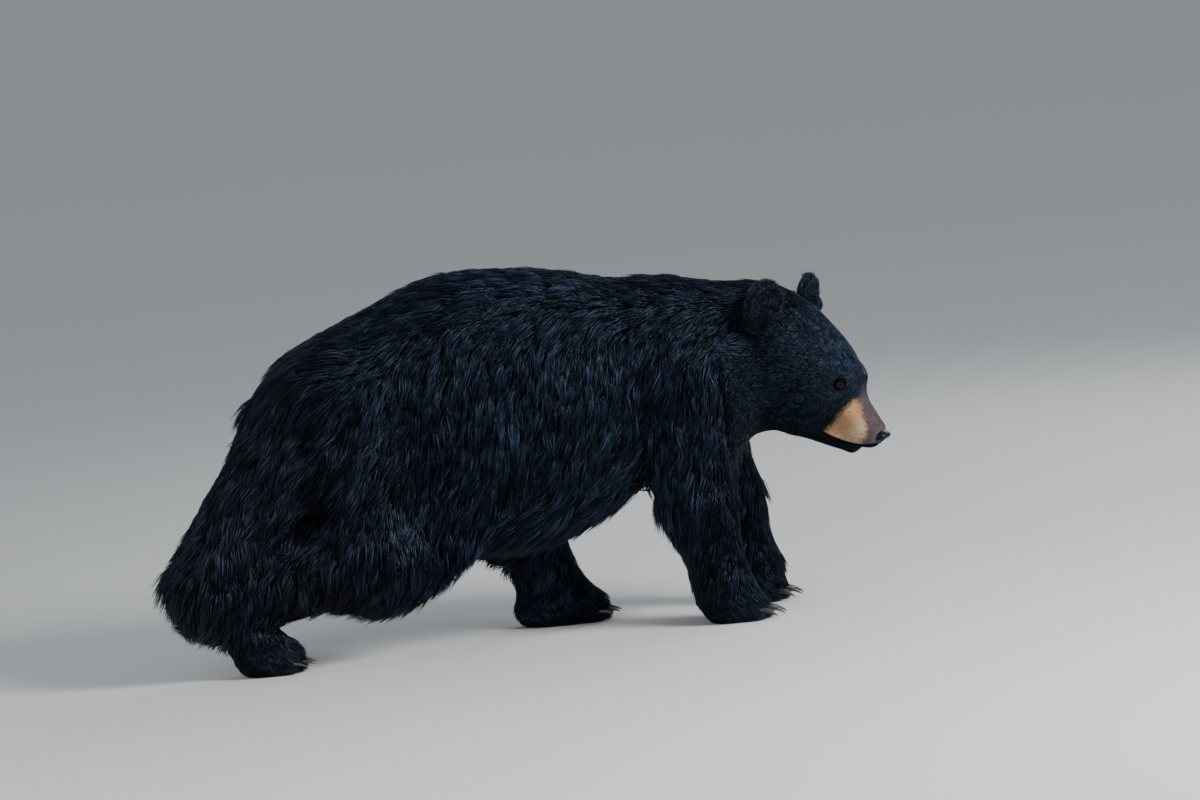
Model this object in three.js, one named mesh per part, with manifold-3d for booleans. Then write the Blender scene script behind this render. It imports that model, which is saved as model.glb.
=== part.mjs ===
// A black bear in mid walk, life size, as a still model: the body to the tips of its coat,
// parted by thin cuts into head, neck, trunk, tail and limbs, with eyes, nose and claws of their own.
// Millimetres, +Z up, +X towards the head, +Y the animal's left side.
import * as THREE from 'three';
import { mergeVertices } from 'three/addons/utils/BufferGeometryUtils.js';
import { MarchingCubes } from 'three/addons/objects/MarchingCubes.js';
import Module from 'manifold-3d';

const wasm = await Module();
wasm.setup();

// Driving dimensions
const GAP = 0.3;                 // width of every cut between two parts
const HALF_HIP = 88;             // hip joints from the middle of the body
const HALF_TRACK_BACK = 126;     // hind feet from the middle of the body
const HALF_SHOULDER = 98;
const HALF_TRACK_FRONT = 122;
const HEAD_TURN = -32;           // degrees, towards the animal's right
const HEAD_DROP = 36;            // degrees, muzzle below level
const HEAD_AT = new THREE.Vector3(677, -72, 490);
const EYE = { forward: 82, side: 48, up: 13, radius: 11.2 };
const EAR = { back: -109, side: 108, up: 67, tilt: 8, wide: 58, tall: 55, thick: 20 };
const NOSE = { forward: 192, up: -50, radii: [17, 23, 17] };
const FRONT_CLAW = { length: 46, radius: 6.2, bend: 62 };
const HIND_CLAW = { length: 36, radius: 5.4, bend: 46 };
const BODY_CELL = 53;            // sampling of the trunk and limbs
const HEAD_CELL = 25;
const PAW_CELL = 22;
const EAR_CELL = 12;

const COLOURS = { coat: 0x0d0e12, nose: 0x141416, eye: 0x2a150a, claw: 0x2b2723 };

// ---- Masses: each gives the distance from a point to its surface, less than nothing inside ----

const at = (x, y, z) => new THREE.Vector3(x, y, z);

function egg(centre, radii, turn = new THREE.Euler()) {
  const back = new THREE.Matrix4().makeRotationFromEuler(turn).transpose().elements;
  return (x, y, z) => {
    const dx = x - centre.x;
    const dy = y - centre.y;
    const dz = z - centre.z;
    const u = (back[0] * dx + back[4] * dy + back[8] * dz) / radii.x;
    const v = (back[1] * dx + back[5] * dy + back[9] * dz) / radii.y;
    const w = (back[2] * dx + back[6] * dy + back[10] * dz) / radii.z;
    const near = Math.hypot(u, v, w);
    const slope = Math.hypot(u / radii.x, v / radii.y, w / radii.z);
    return slope > 0 ? near * (near - 1) / slope : -Math.min(radii.x, radii.y, radii.z);
  };
}

function limb(from, to, fromRadius, toRadius) {
  const axis = to.clone().sub(from);
  const span = axis.lengthSq();
  return (x, y, z) => {
    const dx = x - from.x;
    const dy = y - from.y;
    const dz = z - from.z;
    const along = Math.min(1, Math.max(0, (dx * axis.x + dy * axis.y + dz * axis.z) / span));
    const away = Math.hypot(dx - along * axis.x, dy - along * axis.y, dz - along * axis.z);
    return away - fromRadius - along * (toRadius - fromRadius);
  };
}

function joined(a, b, softness) {
  const h = Math.max(0, softness - Math.abs(a - b)) / softness;
  return Math.min(a, b) - h * h * softness / 4;
}

function hollowed(a, b, softness) {
  return -joined(-a, b, softness);
}

function wider(factor, mass) {
  return (x, y, z) => mass(x, y / factor, z);
}

function together(softness, masses) {
  return (x, y, z) => masses.reduce((sum, mass) => joined(sum, mass(x, y, z), softness), 1e4);
}

// ---- The animal ----

const trunk = together(70, [
  egg(at(-222, 0, 460), at(232, 190, 200)),          // rump
  egg(at(8, 0, 504), at(312, 203, 243)),             // loin
  egg(at(40, 0, 405), at(285, 212, 226)),            // belly
  egg(at(185, 0, 484), at(255, 192, 232)),           // ribs
  egg(at(372, 0, 496), at(168, 165, 174)),           // shoulders
  egg(at(432, 0, 412), at(112, 118, 108)),           // chest
  limb(at(400, 0, 535), at(566, -36, 556), 147, 112), // neck
  limb(at(450, 0, 450), at(590, -45, 468), 110, 88), // throat
]);

const tail = limb(at(-420, 0, 505), at(-474, 0, 420), 42, 28);

// One hind leg: hip, knee and ankle joints, ball of the foot, the flank's fold and a heel on the floor.
function hindLeg(side, { knee, ankle, ball, buttock, calf, flank, heel }) {
  const hip = at(-270, side * HALF_HIP, 495);
  const masses = [
    limb(hip, knee, 128, 84),
    limb(knee, ankle, 82, 55),
    limb(buttock, calf.at, 102, calf.radius),
    limb(ankle, ball, 47, 40),
    egg(at(ball.x + 6, ball.y, 30), at(62, 54, 37)),
  ];
  if (flank) masses.push(egg(flank, at(164, 45, 94), new THREE.Euler(0, -0.52, 0)));
  if (heel) masses.push(egg(heel, at(46, 42, 32)));
  return together(55, masses);
}

const rightHind = {
  knee: at(-238, -120, 206),
  ankle: at(-562, -HALF_TRACK_BACK, 152),
  ball: at(-468, -HALF_TRACK_BACK, 42),
  buttock: at(-402, -80, 405),
  calf: { at: at(-578, -120, 198), radius: 76 },
  flank: at(-150, -121, 222),
};

const leftHind = {
  knee: at(70, 122, 292),
  ankle: at(116, HALF_TRACK_BACK, 92),
  ball: at(160, HALF_TRACK_BACK, 36),
  buttock: at(-375, 78, 420),
  calf: { at: at(62, 124, 196), radius: 60 },
  heel: at(92, HALF_TRACK_BACK, 30),
};

function foreLeg(side, { shoulder, elbow, wrist, palm }) {
  return together(42, [
    limb(shoulder, elbow, 112, 74),
    limb(elbow, wrist, 80, 52),
    limb(wrist, palm, 50, 40),
    egg(at(palm.x + 4, palm.y, 30), at(58, 54, 36)),
  ]);
}

const rightFore = {
  shoulder: at(442, -HALF_SHOULDER, 462),
  elbow: at(410, -116, 262),
  wrist: at(446, -HALF_TRACK_FRONT, 78),
  palm: at(464, -HALF_TRACK_FRONT, 36),
};

const leftFore = {
  shoulder: at(422, HALF_SHOULDER, 462),
  elbow: at(482, 112, 236),
  wrist: at(533, HALF_TRACK_FRONT, 78),
  palm: at(526, HALF_TRACK_FRONT, 36),
};

// Toes: five small pads fanned round the front of a foot's ball, each with its claw's root and heading.
function toesOf(ball, reach) {
  return [-2, -1, 0, 1, 2].map((place) => {
    const turn = THREE.MathUtils.degToRad(place * 9);
    const forward = reach - 5 * place * place;
    return { centre: at(ball.x + forward * Math.cos(turn), ball.y + place * 22, 19), turn };
  });
}

const FEET = {
  front_right: { ball: rightFore.palm, reach: 50, claw: FRONT_CLAW, top: 70 },
  front_left: { ball: leftFore.palm, reach: 50, claw: FRONT_CLAW, top: 70 },
  hind_right: { ball: rightHind.ball, reach: 50, claw: HIND_CLAW, top: 98 },
  hind_left: { ball: leftHind.ball, reach: 52, claw: HIND_CLAW, top: 86 },
};

for (const foot of Object.values(FEET)) foot.toes = toesOf(foot.ball, foot.reach);

function footToes(foot) {
  return together(7, foot.toes.map((toe) => egg(toe.centre, at(27, 14.5, 20))));
}

// ---- Head, in its own frame: x towards the nose, y to its left, z up ----

const headFrame = new THREE.Matrix4().makeRotationFromEuler(new THREE.Euler(
  0, THREE.MathUtils.degToRad(HEAD_DROP), THREE.MathUtils.degToRad(HEAD_TURN), 'ZYX'))
  .setPosition(HEAD_AT);
const intoHead = headFrame.clone().invert().elements;
const fromHead = (x, y, z) => at(x, y, z).applyMatrix4(headFrame);

const skull = together(34, [
  egg(at(-45, 0, -4), at(118, 98, 89)),              // braincase
  egg(at(34, 0, 9), at(75, 66, 42)),                 // forehead
  egg(at(-10, 58, -34), at(98, 56, 82)),             // cheeks
  egg(at(-10, -58, -34), at(98, 56, 84)),
  egg(at(-85, 0, -55), at(95, 94, 93)),              // ruff
]);
const muzzle = wider(1.22, together(22, [
  limb(at(84, 0, -27), at(173, 0, -49), 43, 28),
  limb(at(60, 0, -74), at(140, 0, -78), 36, 22),     // lips
  egg(at(163, 0, -64), at(29, 26, 19)),
]));
const chin = wider(1.15, limb(at(35, 0, -103), at(150, 0, -95), 44, 19));
const brows = [1, -1].map((side) => egg(at(72, side * 38, 20), at(26, 20, 11)));
const sockets = [1, -1].map((side) => egg(at(EYE.forward + 8, side * (EYE.side + 8), EYE.up), at(16, 13, 10)));

const earPlace = (side) => at(EAR.back, side * EAR.side, EAR.up - side * EAR.tilt);

function ear(side) {
  const turn = new THREE.Euler(side * -0.22, -0.5, side * 0.23 - 0.07, 'ZYX');
  const place = earPlace(side);
  const shell = egg(place, at(EAR.thick, EAR.wide, EAR.tall), turn);
  const front = at(13, 0, -2).applyEuler(turn).add(place);
  const cup = egg(front, at(14, EAR.wide - 11, EAR.tall - 14), turn);
  const root = limb(at(EAR.back + 16, side * (EAR.side - 37), 24), at(EAR.back + 10, side * (EAR.side - 9), 54), 36, 27);
  return (x, y, z) => joined(root(x, y, z), hollowed(shell(x, y, z), cup(x, y, z), 7), 16);
}
const ears = [ear(1), ear(-1)];

function headSurface(x, y, z) {
  const u = intoHead[0] * x + intoHead[4] * y + intoHead[8] * z + intoHead[12];
  const v = intoHead[1] * x + intoHead[5] * y + intoHead[9] * z + intoHead[13];
  const w = intoHead[2] * x + intoHead[6] * y + intoHead[10] * z + intoHead[14];
  let d = joined(skull(u, v, w), joined(muzzle(u, v, w), chin(u, v, w), 12), 36);
  for (const brow of brows) d = joined(d, brow(u, v, w), 20);
  for (const socket of sockets) d = hollowed(d, socket(u, v, w), 8);
  return d;
}

function earSurface(x, y, z) {
  const u = intoHead[0] * x + intoHead[4] * y + intoHead[8] * z + intoHead[12];
  const v = intoHead[1] * x + intoHead[5] * y + intoHead[9] * z + intoHead[13];
  const w = intoHead[2] * x + intoHead[6] * y + intoHead[10] * z + intoHead[14];
  return Math.min(...ears.map((each) => each(u, v, w)));
}

const limbs = [
  hindLeg(-1, rightHind), hindLeg(1, leftHind), foreLeg(-1, rightFore), foreLeg(1, leftFore),
];
const toePads = Object.values(FEET).map(footToes);

function bodySurface(x, y, z) {
  let d = joined(trunk(x, y, z), tail(x, y, z), 30);
  const torso = d;
  for (const each of limbs) d = Math.min(d, joined(torso, each(x, y, z), 55));
  if (z < 70) for (const pads of toePads) d = joined(d, pads(x, y, z), 14);
  if (x > 430) d = joined(joined(d, headSurface(x, y, z), 60), earSurface(x, y, z), 14);
  return d;
}

// ---- From surface to solids ----

function toSolid(geometry) {
  geometry.deleteAttribute('normal');
  geometry.deleteAttribute('uv');
  const welded = mergeVertices(geometry, 1e-3);
  const corners = welded.index.array;
  const kept = [];
  for (let i = 0; i < corners.length; i += 3) {
    const [a, b, c] = corners.slice(i, i + 3);
    if (a !== b && b !== c && c !== a) kept.push(a, b, c);
  }
  return new wasm.Manifold(new wasm.Mesh({
    numProp: 3,
    vertProperties: new Float32Array(welded.attributes.position.array),
    triVerts: new Uint32Array(kept),
  }));
}

// Samples a surface inside a box, and closes it off at the box.
function sculpt(surface, box, cell) {
  const size = box.getSize(at(0, 0, 0));
  const centre = box.getCenter(at(0, 0, 0)).round();
  const cells = Math.ceil(Math.max(size.x, size.y, size.z) / cell) + 6;
  const half = cells / 2;
  const cubes = new MarchingCubes(cells, new THREE.MeshStandardMaterial(), false, false, 40000);
  cubes.isolation = 0;
  for (let k = 0; k < cells; k += 1) {
    for (let j = 0; j < cells; j += 1) {
      for (let i = 0; i < cells; i += 1) {
        const spot = at(i - half, j - half, k - half).multiplyScalar(cell).add(centre);
        const outside = Math.max(
          Math.abs(spot.x - centre.x) - size.x / 2,
          Math.abs(spot.y - centre.y) - size.y / 2,
          Math.abs(spot.z - centre.z) - size.z / 2);
        cubes.field[(k * cells + j) * cells + i] = -Math.max(
          surface(spot.x, spot.y, spot.z), outside - cell / 3);
      }
    }
  }
  cubes.update();
  const skin = new THREE.BufferGeometry();
  skin.setAttribute('position', new THREE.BufferAttribute(
    cubes.positionArray.slice(0, cubes.count * 3), 3));
  skin.scale(half * cell, half * cell, half * cell);
  skin.translate(centre.x, centre.y, centre.z);
  return toSolid(skin);
}

const boxAround = (...points) => new THREE.Box3().setFromPoints(points);

// A block that fills everything on the side of a plane that its normal points to, less a margin.
function halfSpace({ point, normal }, margin = 0) {
  const size = 4000;
  const direction = normal.clone().normalize();
  const block = new THREE.BoxGeometry(size, size, size);
  block.translate(0, 0, size / 2 + margin);
  block.applyQuaternion(new THREE.Quaternion().setFromUnitVectors(at(0, 0, 1), direction));
  block.translate(point.x, point.y, point.z);
  return toSolid(block);
}

const plane = (point, normal) => ({ point, normal });
const below = (z) => plane(at(0, 0, z), at(0, 0, -1));
const above = (z) => plane(at(0, 0, z), at(0, 0, 1));
const sideOf = (side, y) => plane(at(0, side * y, 0), at(0, side, 0));
const aheadOf = (x) => plane(at(x, 0, 0), at(1, 0, 0));

function regionOf(planes, margin = 0) {
  return planes.map((each) => halfSpace(each, margin)).reduce((a, b) => a.intersect(b));
}

const within = (solid, planes) => solid.intersect(regionOf(planes));

// The part of a solid inside a region bounded by planes, and the rest of it a gap away.
function parted(solid, planes) {
  return [within(solid, planes), solid.subtract(regionOf(planes, -GAP))];
}

// An egg-shaped cutter, as wide as its radii and a margin.
function eggCutter(centre, radii, margin = 0, frame = new THREE.Matrix4()) {
  const shape = new THREE.SphereGeometry(1, 10, 7);
  shape.scale(radii.x + margin, radii.y + margin, radii.z + margin);
  shape.translate(centre.x, centre.y, centre.z);
  shape.applyMatrix4(frame);
  return toSolid(shape);
}

function scooped(solid, centre, radii, frame) {
  return [
    solid.intersect(eggCutter(centre, radii, 0, frame)),
    solid.subtract(eggCutter(centre, radii, GAP, frame)),
  ];
}

// A claw is a cone bent along an arc, narrower from side to side, set in the front of a toe.
function clawSolid({ length, radius, bend }, toe, margin = 0) {
  const shape = new THREE.ConeGeometry(radius + margin, length + 2 * margin, 4, 2);
  shape.rotateZ(-Math.PI / 2);
  shape.translate(length / 2, 0, 0);
  const arc = length / THREE.MathUtils.degToRad(bend);
  const spots = shape.attributes.position;
  for (let i = 0; i < spots.count; i += 1) {
    const angle = spots.getX(i) / arc;
    const out = arc + spots.getY(i);
    spots.setXYZ(i, out * Math.sin(angle), spots.getZ(i) * -0.75, out * Math.cos(angle) - arc);
  }
  shape.rotateY(THREE.MathUtils.degToRad(-14));
  shape.rotateZ(toe.turn);
  shape.translate(toe.centre.x + 12 * Math.cos(toe.turn), toe.centre.y + 12 * Math.sin(toe.turn), 20);
  return toSolid(shape);
}

// ---- The parts ----

const bear = new THREE.Group();

function addPart(name, solid, { colour = COLOURS.coat, roughness = 0.8 } = {}) {
  const pieces = solid.decompose().sort((a, b) => b.volume() - a.volume());
  const mesh = pieces[0].getMesh();
  const geometry = new THREE.BufferGeometry();
  geometry.setAttribute('position', new THREE.BufferAttribute(mesh.vertProperties, 3));
  geometry.setIndex(new THREE.BufferAttribute(mesh.triVerts, 1));
  geometry.computeVertexNormals();
  const material = new THREE.MeshStandardMaterial({ color: colour, roughness, metalness: 0 });
  const part = new THREE.Mesh(geometry, material);
  part.name = name;
  bear.add(part);
}

let body = sculpt(bodySurface, boxAround(at(-700, -300, -30), at(900, 300, 800)), BODY_CELL);

// The head is everything ahead of a plane behind the ears and above one under the jaw.
const headRegion = [
  plane(fromHead(-150, 0, -10), at(0.93, -0.32, -0.3)),
  plane(at(560, 0, 338), at(0.3, 0, 0.95)),
];
[, body] = parted(body, headRegion);
let head = within(
  sculpt(bodySurface, boxAround(at(505, -290, 250), at(880, 170, 760)), HEAD_CELL), headRegion);

function addHead() {
  for (const [side, name] of [[1, 'left'], [-1, 'right']]) {
    const place = earPlace(side);
    const middle = place.clone().applyMatrix4(headFrame);
    const fine = within(
      sculpt(bodySurface, new THREE.Box3().setFromCenterAndSize(middle, at(170, 170, 170)), EAR_CELL),
      headRegion);
    const cut = [place.clone().add(at(-10, 0, 4)), at(58, 56, 70), headFrame];
    addPart(`ear_${name}`, scooped(fine, ...cut)[0]);
    head = scooped(head, ...cut)[1];

    const eyeAt = at(EYE.forward, side * EYE.side, EYE.up);
    const ball = at(EYE.radius, EYE.radius, EYE.radius);
    head = head.subtract(eggCutter(eyeAt, ball, GAP, headFrame));
    addPart(`eye_${name}`, eggCutter(eyeAt, ball, 0, headFrame), { colour: COLOURS.eye, roughness: 0.1 });
  }

  const noseAt = at(NOSE.forward, 0, NOSE.up);
  const noseRadii = at(...NOSE.radii);
  const nostrils = [1, -1].map((side) => eggCutter(
    at(NOSE.forward + 12, side * 10, NOSE.up + 1), at(8, 5, 4.5), 0, headFrame));
  const nose = nostrils.reduce((rest, hole) => rest.subtract(hole),
    eggCutter(noseAt, noseRadii, 0, headFrame));
  head = head.subtract(eggCutter(noseAt, noseRadii, GAP, headFrame));
  addPart('nose', nose, { colour: COLOURS.nose, roughness: 0.35 });

  const mouth = plane(fromHead(135, 0, -89), at(0.19, 0, -0.98).transformDirection(headFrame));
  const mouthCorner = plane(fromHead(78, 0, 0), at(1, 0, 0).transformDirection(headFrame));
  let jaw;
  [jaw, head] = parted(head, [mouth, mouthCorner]);
  addPart('jaw', jaw);
  addPart('head', head);
}

function addFoot(name, { ball, claw, toes, top }) {
  const region = boxAround(at(ball.x - 125, ball.y - 90, -25), at(ball.x + 125, ball.y + 90, top + 30));
  let paw = within(sculpt(bodySurface, region, PAW_CELL), [above(0), below(top - GAP)]);
  toes.forEach((toe, number) => {
    paw = paw.subtract(clawSolid(claw, toe, GAP));
    addPart(`claw_${name}_${number + 1}`, clawSolid(claw, toe), { colour: COLOURS.claw, roughness: 0.4 });
  });
  addPart(`paw_${name}`, paw);
}

function addForeLeg(side, name, centre) {
  let lower;
  let upper;
  [lower, body] = parted(body, [below(232), aheadOf(255), sideOf(side, 0)]);
  addPart(`forearm_${name}`, within(lower, [above(FEET[`front_${name}`].top)]));
  [upper, body] = scooped(body, centre, at(158, 115, 210));
  addPart(`upper_arm_${name}`, upper);
}

function addHindLegs() {
  let rightLeg;
  const haunchCut = plane(at(-260, 0, 313), at(-0.5, 0, -0.866));
  [rightLeg, body] = parted(body, [haunchCut, sideOf(-1, 20)]);
  const shankCut = plane(at(-415, 0, 200), at(-0.948, 0, -0.317));
  const [shin, thigh] = parted(rightLeg, [shankCut]);
  addPart('thigh_right', thigh);
  addPart('shin_right', within(shin, [above(FEET.hind_right.top)]));

  let leftShin;
  let leftThigh;
  [leftShin, body] = parted(body, [below(158), aheadOf(-150), sideOf(1, 20)]);
  addPart('shin_left', within(leftShin, [above(FEET.hind_left.top)]));
  [leftThigh, body] = scooped(body, at(-125, 170, 290), at(265, 118, 200));
  addPart('thigh_left', leftThigh);
}

addHead();
addForeLeg(-1, 'right', at(410, -155, 390));
addForeLeg(1, 'left', at(452, 155, 390));
addHindLegs();

const neckBase = plane(at(495, 0, 525), at(0.93, 0, 0.366));
let neck;
let tailSolid;
[neck, body] = parted(body, [neckBase]);
[tailSolid, body] = scooped(body, at(-492, 0, 438), at(52, 42, 92));
addPart('neck', neck);
addPart('tail', tailSolid);
addPart('trunk', body);
for (const [name, foot] of Object.entries(FEET)) addFoot(name, foot);

// The origin is on the floor under the middle of the animal's box.
const bounds = new THREE.Box3().setFromObject(bear, true);
const middle = bounds.getCenter(at(0, 0, 0));
bear.position.set(-middle.x, -middle.y, -bounds.min.z);

export default bear;
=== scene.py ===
"""The coat, skin, eyes, nose and claws of a black bear in mid walk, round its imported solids.

Shapes are worked out in millimetres in the bear's own frame and laid on the solids in metres.
"""
import math

import bmesh
import bpy
import numpy as np
from mathutils import Matrix, Vector, kdtree


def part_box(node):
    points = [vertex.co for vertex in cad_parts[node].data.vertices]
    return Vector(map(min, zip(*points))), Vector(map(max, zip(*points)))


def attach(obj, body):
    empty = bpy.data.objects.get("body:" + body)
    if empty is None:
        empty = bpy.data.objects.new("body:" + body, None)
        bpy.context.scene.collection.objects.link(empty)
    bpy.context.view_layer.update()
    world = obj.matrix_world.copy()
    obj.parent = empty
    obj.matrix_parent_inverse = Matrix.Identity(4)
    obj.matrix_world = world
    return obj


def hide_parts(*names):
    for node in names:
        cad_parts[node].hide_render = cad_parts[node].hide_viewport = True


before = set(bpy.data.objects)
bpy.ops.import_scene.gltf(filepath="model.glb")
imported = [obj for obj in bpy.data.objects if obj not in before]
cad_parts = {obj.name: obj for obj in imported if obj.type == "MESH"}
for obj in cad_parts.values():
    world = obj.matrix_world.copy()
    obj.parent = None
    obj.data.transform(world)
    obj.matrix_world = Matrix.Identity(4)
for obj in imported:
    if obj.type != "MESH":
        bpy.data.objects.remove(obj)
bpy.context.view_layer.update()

MM = 0.001
COAT_SHARE = 0.85         # of the planned number of tufts
EVEN_MESH = 9             # size of the skin's faces before the finer parts
FLOOR_GAP = 0.2           # between the soles and the floor
rng = np.random.default_rng(11)

# Colours in linear light: the dark and the light end of each part of the bear.
# The light ends of the black and the brown coat are painted highlight: a blue sheen painted into
# the strands' colour.
JET, BLUE_GLEAM = (0.0004, 0.0005, 0.0011, 1), (0.036, 0.054, 0.100, 1)
SABLE, BROWN_GLEAM = (0.0010, 0.0009, 0.0013, 1), (0.050, 0.046, 0.066, 1)
# A near-black painted shade for the ear cups and behind the cheeks.
PAINTED_SHADE_BLACK = (0.0005, 0.0005, 0.0008, 1)
BRIDGE_DARK, BRIDGE_LIGHT = (0.050, 0.032, 0.033, 1), (0.150, 0.110, 0.110, 1)
BROW_TAN = (0.20, 0.12, 0.07, 1)
TAN_DEEP, TAN_PALE = (0.40, 0.215, 0.100, 1), (0.52, 0.345, 0.215, 1)
# Darker tan for low tone: partly random, partly painted shade at the roots.
TAN_DARK_AND_ROOT_SHADE = (0.24, 0.14, 0.08, 1)
LIP_BLACK = (0.0045, 0.0038, 0.0042, 1)
IRIS_DARK, IRIS_LIGHT = (0.010, 0.0034, 0.0016, 1), (0.034, 0.012, 0.005, 1)
PUPIL_BLACK, EYE_RIM = (0.0004, 0.0004, 0.0005, 1), (0.003, 0.0015, 0.0015, 1)
LID_BLACK, LID_PALE = (0.0006, 0.0006, 0.0009, 1), (0.011, 0.010, 0.013, 1)
NOSE_BLACK = (0.0015, 0.0018, 0.003, 1)
HORN_ROOT, HORN_TIP = (0.010, 0.008, 0.0075, 1), (0.060, 0.048, 0.040, 1)
COAT_SHEEN, NOSE_SHEEN = (0.55, 0.74, 1.0, 1), (0.45, 0.7, 1.0, 1)
FLOOR_GREY, SKY_GREY = (0.56, 0.56, 0.545, 1), (0.86, 0.92, 1.0, 1)

# ---- The bear's form: each mass gives distances to its surface, less than nothing inside ----

HEAD_TURN, HEAD_DROP = -32, 36          # degrees
HEAD_AT = np.array((677.0, -72.0, 490.0))
EYE_AT = np.array((82.0, 48.0, 13.0))   # in the head's frame, left side
GAZE = np.array((0.66, 0.74, 0.12))     # where the left eye looks
EYE_RADIUS = 11.2
EAR_BACK, EAR_SIDE, EAR_UP, EAR_TILT = -109.0, 108.0, 67.0, 8.0
EAR_WIDE, EAR_TALL, EAR_THICK = 58, 55, 20
EAR_CUP_AT = (EAR_BACK + 11, EAR_SIDE, EAR_UP + 3)
BROW_SPOT_AT = (94, 29, 36)
NOSE_AT = np.array((192.0, 0.0, -50.0))
NOSE_SIZE = (14, 22, 18)
# The mouth's line lies below the head's middle and rises from its bend to the nose.
MOUTH_LOW, MOUTH_BEND, MOUTH_RISE = 98.3, 100, 0.0036
THROAT = -175                           # where the head ends below

# Where the coat changes, in the bear's own frame.
NECK, FACE = 500, 600                   # the head's and the face's parts lie ahead of these
LEG_TOP, MID_LEGS = 235, 260            # the legs' coat lies below; fore and hind part here


def turned(x=0.0, y=0.0, z=0.0):
    """A turn about X, then Y, then Z, in radians."""
    return np.array(
        Matrix.Rotation(z, 3, "Z") @ Matrix.Rotation(y, 3, "Y") @ Matrix.Rotation(x, 3, "X")
    )


HEAD_FRAME = turned(y=math.radians(HEAD_DROP), z=math.radians(HEAD_TURN))


def to_head(spots):
    """Places in the bear's frame to the head's."""
    return (spots - HEAD_AT) @ HEAD_FRAME


def from_head(spots):
    """Places in the head's frame to the bear's."""
    return np.asarray(spots, float) @ HEAD_FRAME.T + HEAD_AT


def egg(centre, radii, turn=None):
    """A round mass with three radii, turned if a turn is given."""
    centre, radii = np.array(centre, float), np.array(radii, float)

    def distance(spots):
        away = spots - centre
        if turn is not None:
            away = away @ turn
        away = away / radii
        near = np.linalg.norm(away, axis=1)
        slope = np.linalg.norm(away / radii, axis=1)
        return near * (near - 1) / np.maximum(slope, 1e-9)

    return distance


def limb(start, end, start_radius, end_radius):
    """A tapered rod with round ends."""
    start, end = np.array(start, float), np.array(end, float)
    axis = end - start

    def distance(spots):
        away = spots - start
        along = np.clip(away @ axis / (axis @ axis), 0, 1)
        off = np.linalg.norm(away - along[:, None] * axis, axis=1)
        return off - start_radius - along * (end_radius - start_radius)

    return distance


def joined(a, b, softness):
    """Two masses run together with a soft fillet."""
    h = np.maximum(0, softness - np.abs(a - b)) / softness
    return np.minimum(a, b) - h * h * softness / 4


def hollowed(a, b, softness):
    """A mass with another pressed out of it."""
    return -joined(-a, b, softness)


def together(softness, masses):
    """Several masses run together, one after another."""
    def distance(spots):
        total = masses[0](spots)
        for mass in masses[1:]:
            total = joined(total, mass(spots), softness)
        return total

    return distance


def wider(factor, mass):
    """A mass stretched sideways from the mid plane."""
    return lambda spots: mass(spots / np.array((1, factor, 1)))


trunk = together(70, [
    egg((-222, 0, 460), (232, 190, 200)),                  # rump
    egg((8, 0, 504), (312, 203, 243)),                     # loin
    egg((40, 0, 405), (285, 212, 226)),                    # belly
    egg((185, 0, 484), (255, 192, 232)),                   # ribs
    egg((372, 0, 496), (168, 165, 174)),                   # shoulders
    egg((432, 0, 412), (112, 118, 108)),                   # chest
    limb((400, 0, 535), (566, -36, 556), 147, 112),        # neck
    limb((450, 0, 450), (590, -45, 468), 110, 88),         # throat
])
tail = limb((-420, 0, 505), (-474, 0, 420), 42, 28)


def hind_leg(side, knee, ankle, ball, buttock, calf, calf_radius, flank=None, heel=None):
    """Thigh, shank, buttock with calf, and paw, with a fold of flank or a heel where given."""
    masses = [
        limb((-270, side * 88, 495), knee, 128, 84),
        limb(knee, ankle, 82, 55),
        limb(buttock, calf, 102, calf_radius),
        limb(ankle, ball, 47, 40),
        egg((ball[0] + 6, ball[1], 30), (62, 54, 37)),
    ]
    if flank is not None:
        masses.append(egg(flank, (164, 45, 94), turned(y=-0.52)))
    if heel is not None:
        masses.append(egg(heel, (46, 42, 32)))
    return together(55, masses)


def fore_leg(shoulder, elbow, wrist, palm):
    """Upper arm, forearm, wrist and paw."""
    return together(42, [
        limb(shoulder, elbow, 112, 74),
        limb(elbow, wrist, 80, 52),
        limb(wrist, palm, 50, 40),
        egg((palm[0] + 4, palm[1], 30), (58, 54, 36)),
    ])


legs = [
    hind_leg(-1, (-238, -120, 206), (-562, -126, 152), (-468, -126, 42), (-402, -80, 405),
             (-578, -120, 198), 76, flank=(-150, -121, 222)),
    hind_leg(1, (70, 122, 292), (116, 126, 92), (160, 126, 36), (-375, 78, 420),
             (62, 124, 196), 60, heel=(92, 126, 30)),
    fore_leg((442, -98, 462), (410, -116, 262), (446, -122, 78), (464, -122, 36)),
    fore_leg((422, 98, 462), (482, 112, 236), (533, 122, 78), (526, 122, 36)),
]
# Ball of each foot, how far its toes reach, and its claws' length, radius and bend.
FEET = {
    "front_right": ((464, -122, 36), 50, (46, 6.2, 62)),
    "front_left": ((526, 122, 36), 50, (46, 6.2, 62)),
    "hind_right": ((-468, -126, 42), 50, (36, 5.4, 46)),
    "hind_left": ((160, 126, 36), 52, (36, 5.4, 46)),
}


def toes_of(ball, reach):
    """Centre and heading of each of a foot's five toes."""
    toes = []
    for place in (-2, -1, 0, 1, 2):
        turn = math.radians(place * 9)
        forward = reach - 5 * place * place
        centre = np.array((ball[0] + forward * math.cos(turn), ball[1] + place * 22, 19.0))
        toes.append((centre, turn))
    return toes


toe_pads = [
    together(5, [egg(centre, (27, 12.6, 19)) for centre, _ in toes_of(ball, reach)])
    for ball, reach, _ in FEET.values()
]

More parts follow.
